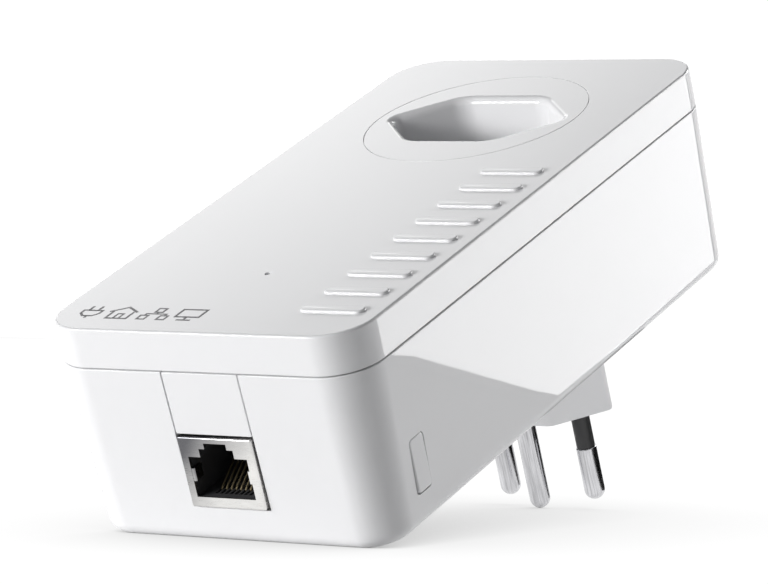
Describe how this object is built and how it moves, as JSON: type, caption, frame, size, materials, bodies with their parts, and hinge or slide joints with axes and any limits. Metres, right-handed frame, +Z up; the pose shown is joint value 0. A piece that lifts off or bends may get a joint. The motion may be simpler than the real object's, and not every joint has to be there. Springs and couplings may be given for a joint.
{
  "type": "powerline adapter",
  "caption": "Wall-plug powerline network adapter with a pass-through mains socket on its front, a shielded network jack in its end and a side button.",
  "frame": {"origin": "on the table it lies on, under the middle of its bounding box", "axes": "+Z up as the adapter lies on a table, leaned 22.6 degrees on the back edge of its network-port end and the tip of its earth pin; +Y runs from the network-port end to the socket end; +X to the side with the button; the socket face looks up and back towards -Y"},
  "size_m": [0.066, 0.1348, 0.0866],
  "materials": {
    "case_white": "glossy white moulded plastic",
    "cover_white": "satin white moulded plastic",
    "grey_plastic": "grey insulating plastic",
    "black_plastic": "black plastic",
    "nickel": "nickel-plated brass",
    "tin_plate": "tin-plated sheet",
    "contact_brass": "brass",
    "gold_plate": "gold-plated phosphor bronze",
    "steel": "zinc-plated steel",
    "board_green": "glass-fibre circuit board",
    "aluminium": "anodised aluminium",
    "ferrite": "ferrite",
    "yellow_tape": "yellow polyester tape or box",
    "clear": "clear plastic or glass",
    "ceramic": "blue coated ceramic",
    "copper": "enamelled copper winding",
    "label": "blank silver-grey foil"
  },
  "bodies": {
    "case": {"board_screw_1": "steel", "board_screw_2": "steel", "bulk_capacitor": "black_plastic", "case_screw_1": "steel", "case_screw_2": "steel", "case_screw_3": "steel", "case_screw_4": "steel", "common_mode_choke": "copper", "contact_carrier": "grey_plastic", "coupling_transformer": "ferrite", "earth_contact": "contact_brass", "earth_pin": "nickel", "front_cover": "cover_white", "fuse": "clear", "heat_sink": "aluminium", "jack_contact_1": "gold_plate", "jack_contact_2": "gold_plate", "jack_contact_3": "gold_plate", "jack_contact_4": "gold_plate", "jack_contact_5": "gold_plate", "jack_contact_6": "gold_plate", "jack_contact_7": "gold_plate", "jack_contact_8": "gold_plate", "jack_insert": "black_plastic", "jack_shield": "tin_plate", "light_pipe": "clear", "line_contact": "contact_brass", "line_pin": "nickel", "line_sleeve": "black_plastic", "main_board": "board_green", "memory_chip": "black_plastic", "neutral_contact": "contact_brass", "neutral_pin": "nickel", "neutral_sleeve": "black_plastic", "output_capacitor": "black_plastic", "plug_body": "case_white", "port_filler": "case_white", "processor": "black_plastic", "pulse_transformer": "black_plastic", "rating_plate": "label", "rear_housing": "case_white", "rectifier": "black_plastic", "socket_insert": "cover_white", "status_led": "clear", "suppression_capacitor": "yellow_tape", "switch_body": "black_plastic", "transformer_core": "ferrite", "transformer_winding": "yellow_tape", "varistor": "ceramic"},
    "button": {"side_button": "case_white"},
    "plunger": {"switch_plunger": "grey_plastic"},
    "shutter": {"socket_shutter": "grey_plastic", "shutter_spring": "steel"}
  },
  "joints": [
    {"name": "button_press", "type": "slide", "parent": "case", "child": "button", "axis": [-1, 0, 0], "range_m": [0, 0.0006], "stiffness_N_per_m": 1500, "springref_m": -0.0006},
    {"name": "plunger_press", "type": "slide", "parent": "case", "child": "plunger", "axis": [-1, 0, 0], "range_m": [0, 0.0006]},
    {"name": "shutter_slide", "type": "slide", "parent": "case", "child": "shutter", "axis": [0, 0.9233, 0.3841], "range_m": [0, 0.0048], "stiffness_N_per_m": 150, "springref_m": -0.004}
  ],
  "couplings": [
    {"joint": "plunger_press", "follows": "button_press", "ratio": 1}
  ]
}
